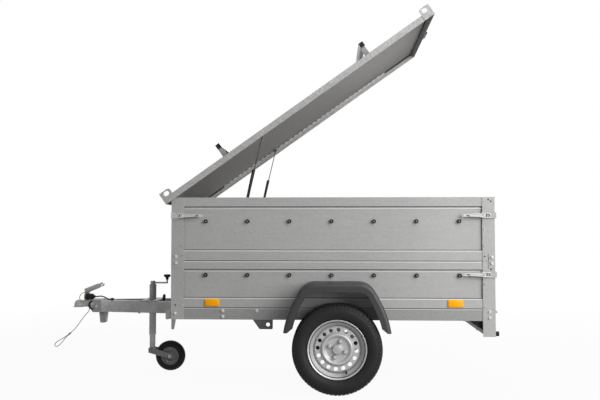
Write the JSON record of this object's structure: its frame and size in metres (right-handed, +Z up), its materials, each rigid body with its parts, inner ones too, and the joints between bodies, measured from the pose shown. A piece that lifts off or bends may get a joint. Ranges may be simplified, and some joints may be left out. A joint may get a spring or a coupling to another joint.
{
  "type": "utility trailer with lid",
  "caption": "Single-axle box trailer of galvanised boards with a hinged steel lid on gas struts, two tailgates, a V drawbar with ball coupling and a jockey wheel.",
  "frame": {"origin": "on the ground, on the centre line, midway along the whole length", "axes": "+X to the rear, +Y to the right side, +Z up"},
  "size_m": [2.9872, 1.57, 2.4155],
  "materials": {
    "galvanised": "spangled hot-dip zinc, matt",
    "chassis": "dull zinc",
    "zinc_plated": "bright zinc",
    "rim_paint": "silver paint",
    "tyre_rubber": "matt",
    "fender_plastic": "fine grain",
    "black_plastic": "moulded",
    "black_rubber": "matt",
    "black_paint": "satin",
    "rod_steel": "polished",
    "amber_lens": "moulded lens",
    "red_lens": "moulded lens",
    "plywood": "film faced",
    "cable_steel": "wire rope"
  },
  "bodies": {
    "trailer": {"sills": "galvanised", "cross_members": "chassis", "floor_panel": "plywood", "drawbar_rails": "chassis", "nose_bracket": "zinc_plated", "coupling_head": "zinc_plated", "coupling_handle": "zinc_plated", "plug_dock": "chassis", "jockey_outer_tube": "chassis", "jockey_clamp": "chassis", "jockey_crank": "zinc_plated", "jockey_grips": "black_plastic", "front_posts": "galvanised", "rear_posts": "galvanised", "joint_plates": "galvanised", "lower_side_boards": "galvanised", "upper_side_boards": "galvanised", "lower_front_board": "galvanised", "upper_front_board": "galvanised", "latches": "zinc_plated", "cord_buttons": "black_plastic", "side_reflectors": "amber_lens", "jack_brackets": "chassis", "front_hooks": "chassis", "light_bar": "galvanised", "rear_lights": "red_lens", "buffers": "black_rubber", "fender_left": "fender_plastic", "fender_right": "fender_plastic", "axle_beam": "chassis", "axle_arms": "chassis", "lid_hinge_bases": "zinc_plated", "strut_brackets": "galvanised", "safety_cable": "cable_steel", "power_lead": "black_rubber", "lead_fittings": "black_plastic"},
    "lid": {"lid_skin": "galvanised", "lid_frame": "galvanised", "lid_ears": "galvanised", "lid_crossbars": "galvanised", "crossbar_caps": "black_plastic", "lid_fittings": "zinc_plated", "lid_lock": "black_plastic"},
    "tailgate": {"lower_tailgate": "galvanised"},
    "upper_gate": {"upper_tailgate": "galvanised"},
    "wheel_left": {"tyre_left": "tyre_rubber", "rim_left": "rim_paint", "hub_left": "chassis"},
    "wheel_right": {"tyre_right": "tyre_rubber", "rim_right": "rim_paint", "hub_right": "chassis"},
    "jockey_leg": {"jockey_inner_tube": "chassis"},
    "jockey_caster": {"jockey_fork": "chassis"},
    "jockey_wheel": {"jockey_tyre": "black_rubber", "jockey_rim": "zinc_plated"},
    "strut_cylinder_left": {"strut_tube_left": "black_paint"},
    "strut_cylinder_right": {"strut_tube_right": "black_paint"},
    "strut_piston_left": {"strut_rod_left": "rod_steel"},
    "strut_piston_right": {"strut_rod_right": "rod_steel"}
  },
  "joints": [
    {"name": "lid_hinge", "type": "hinge", "parent": "trailer", "child": "lid", "pos_m": [-0.62, 0, 1.146], "axis": [0, -1, 0], "range_deg": [-35.2, 0]},
    {"name": "tailgate_hinge", "type": "hinge", "parent": "trailer", "child": "tailgate", "pos_m": [1.423, 0, 0.483], "axis": [0, 1, 0], "range_deg": [0, 175]},
    {"name": "upper_tailgate_hinge", "type": "hinge", "parent": "trailer", "child": "upper_gate", "pos_m": [1.3985, 0, 0.816], "axis": [0, 1, 0], "range_deg": [0, 90]},
    {"name": "wheel_left_spin", "type": "hinge", "parent": "trailer", "child": "wheel_left", "pos_m": [0.434, -0.692, 0.2735], "axis": [0, 1, 0], "continuous": true},
    {"name": "wheel_right_spin", "type": "hinge", "parent": "trailer", "child": "wheel_right", "pos_m": [0.434, 0.692, 0.2735], "axis": [0, 1, 0], "continuous": true},
    {"name": "jockey_slide", "type": "slide", "parent": "trailer", "child": "jockey_leg", "axis": [0, 0, 1], "range_m": [-0.1, 0.085]},
    {"name": "jockey_swivel", "type": "hinge", "parent": "jockey_leg", "child": "jockey_caster", "pos_m": [-0.869, 0, 0.16], "axis": [0, 0, 1], "continuous": true},
    {"name": "jockey_spin", "type": "hinge", "parent": "jockey_caster", "child": "jockey_wheel", "pos_m": [-0.739, 0, 0.105], "axis": [0, 1, 0], "continuous": true},
    {"name": "strut_left_pivot", "type": "hinge", "parent": "trailer", "child": "strut_cylinder_left", "pos_m": [-0.156, -0.528, 1.102], "axis": [0, -1, 0], "range_deg": [-59.8, 0.5]},
    {"name": "strut_left_slide", "type": "slide", "parent": "strut_cylinder_left", "child": "strut_piston_left", "axis": [0.2281, 0, 0.9736], "range_m": [-0.2299, 0.001]},
    {"name": "strut_right_pivot", "type": "hinge", "parent": "trailer", "child": "strut_cylinder_right", "pos_m": [-0.156, 0.528, 1.102], "axis": [0, -1, 0], "range_deg": [-59.8, 0.5]},
    {"name": "strut_right_slide", "type": "slide", "parent": "strut_cylinder_right", "child": "strut_piston_right", "axis": [0.2281, 0, 0.9736], "range_m": [-0.2299, 0.001]}
  ],
  "couplings": [
    {"joint": "strut_left_pivot", "follows": "lid_hinge", "ratio": 1.6847},
    {"joint": "strut_left_slide", "follows": "lid_hinge", "m_per_rad": 0.3726},
    {"joint": "strut_right_pivot", "follows": "lid_hinge", "ratio": 1.6847},
    {"joint": "strut_right_slide", "follows": "lid_hinge", "m_per_rad": 0.3726}
  ]
}
